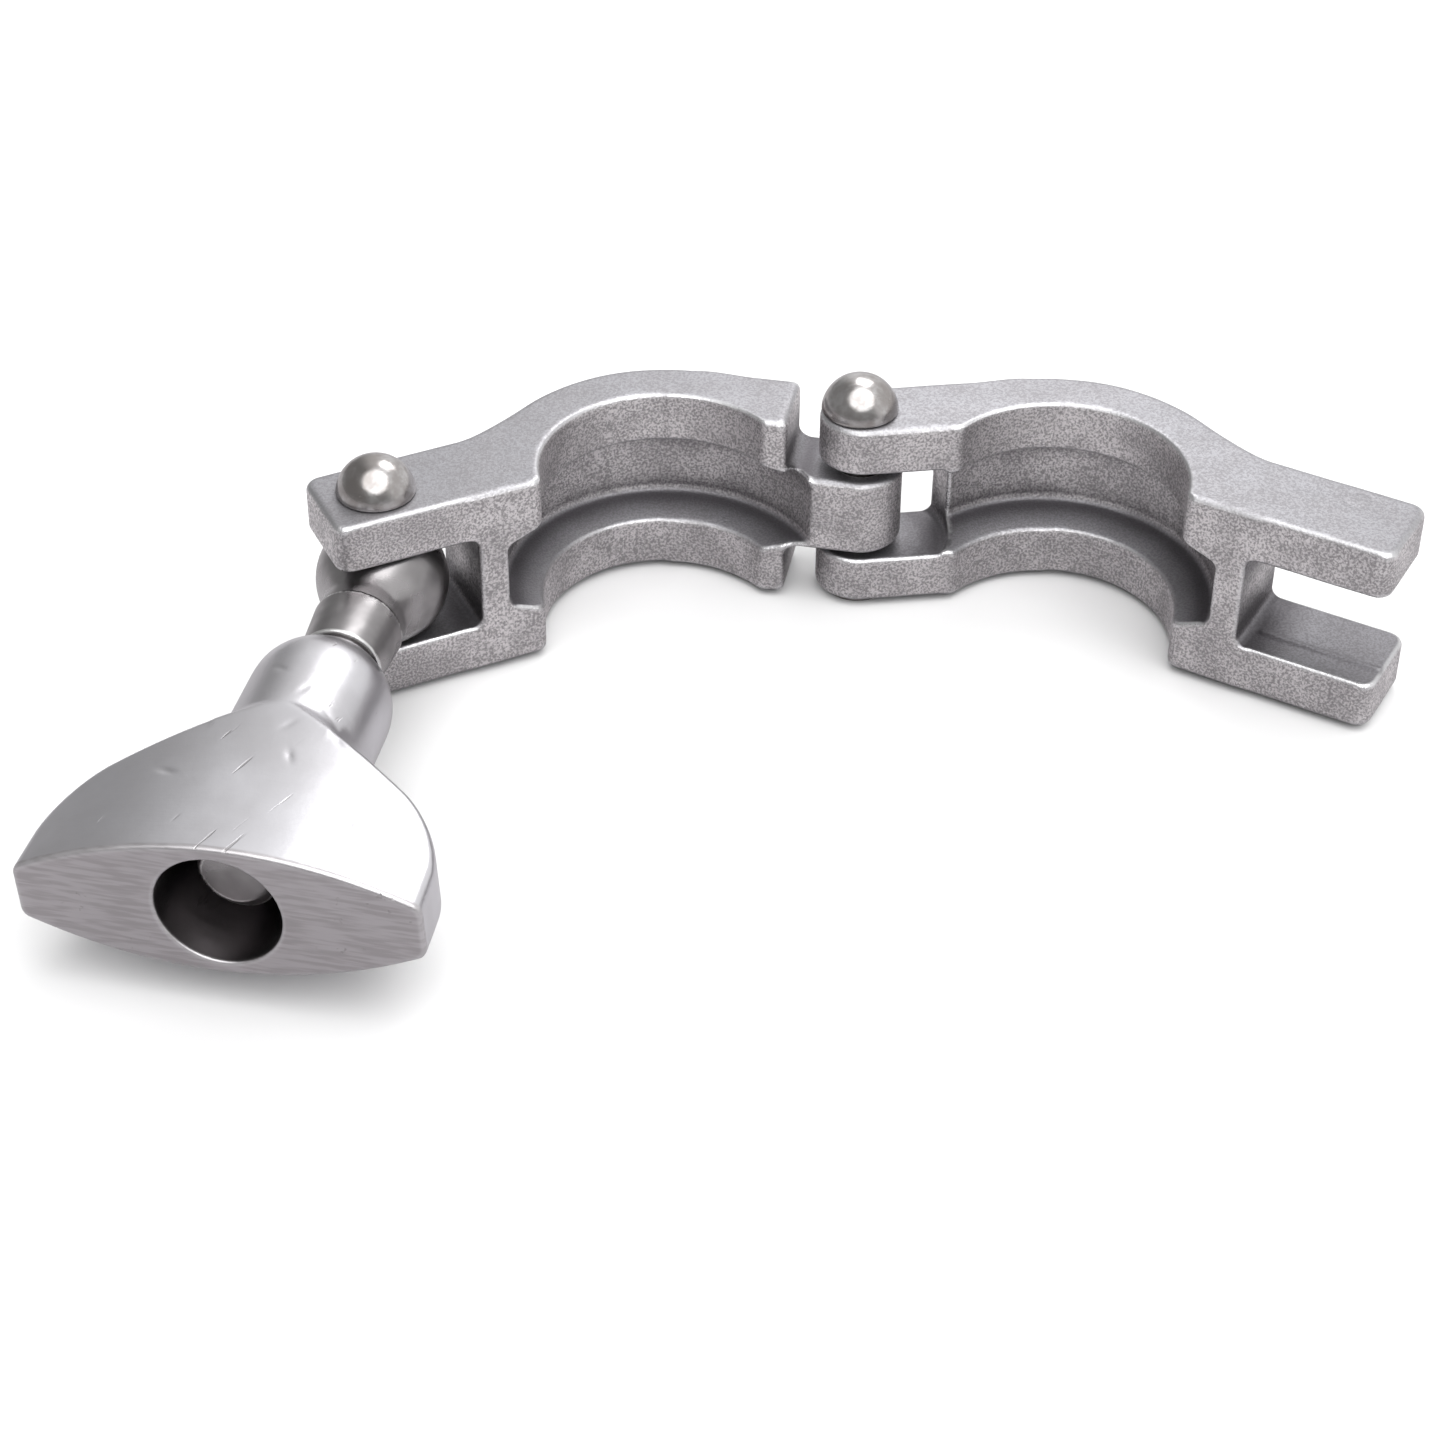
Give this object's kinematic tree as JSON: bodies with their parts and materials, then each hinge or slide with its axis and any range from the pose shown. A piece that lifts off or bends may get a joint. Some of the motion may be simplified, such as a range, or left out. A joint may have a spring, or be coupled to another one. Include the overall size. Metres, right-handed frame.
{
  "type": "swing bolt pipe clamp",
  "caption": "Hinged hygienic pipe clamp, opened out: cast half rings with a V groove, a swing bolt and a wing nut that drops into an open slot.",
  "frame": {"origin": "centre of the clevis jaw's ring, at the middle of its height", "axes": "+Z along the pipe, towards the domed rivet heads; +X from the ring's centre to the hinge pin; the clevis jaw lies on the +Y side and opens towards -Y"},
  "size_m": [0.1138, 0.0519, 0.0211],
  "materials": {
    "cast_steel": "investment cast stainless steel, fine matt grain",
    "polished_steel": "polished stainless steel",
    "turned_steel": "turned stainless steel",
    "satin_steel": "tumbled cast stainless steel, satin"
  },
  "bodies": {
    "clevis_half": {"clevis_jaw": "cast_steel", "bolt_rivet": "polished_steel"},
    "slot_half": {"slot_jaw": "cast_steel", "hinge_rivet": "polished_steel"},
    "bolt": {"swing_bolt": "turned_steel"},
    "nut": {"wing_nut": "satin_steel"}
  },
  "joints": [
    {"name": "jaw_hinge", "type": "hinge", "parent": "clevis_half", "child": "slot_half", "pos_m": [0.0185, 0, 0], "axis": [0, 0, 1], "range_deg": [-128.3, 75]},
    {"name": "bolt_swing", "type": "hinge", "parent": "clevis_half", "child": "bolt", "pos_m": [-0.023, 0.006, 0], "axis": [0, 0, 1], "range_deg": [-140, 37.1]},
    {"name": "nut_travel", "type": "slide", "parent": "bolt", "child": "nut", "axis": [-0.6032, -0.7976, 0], "range_m": [0, 0.01016]}
  ]
}
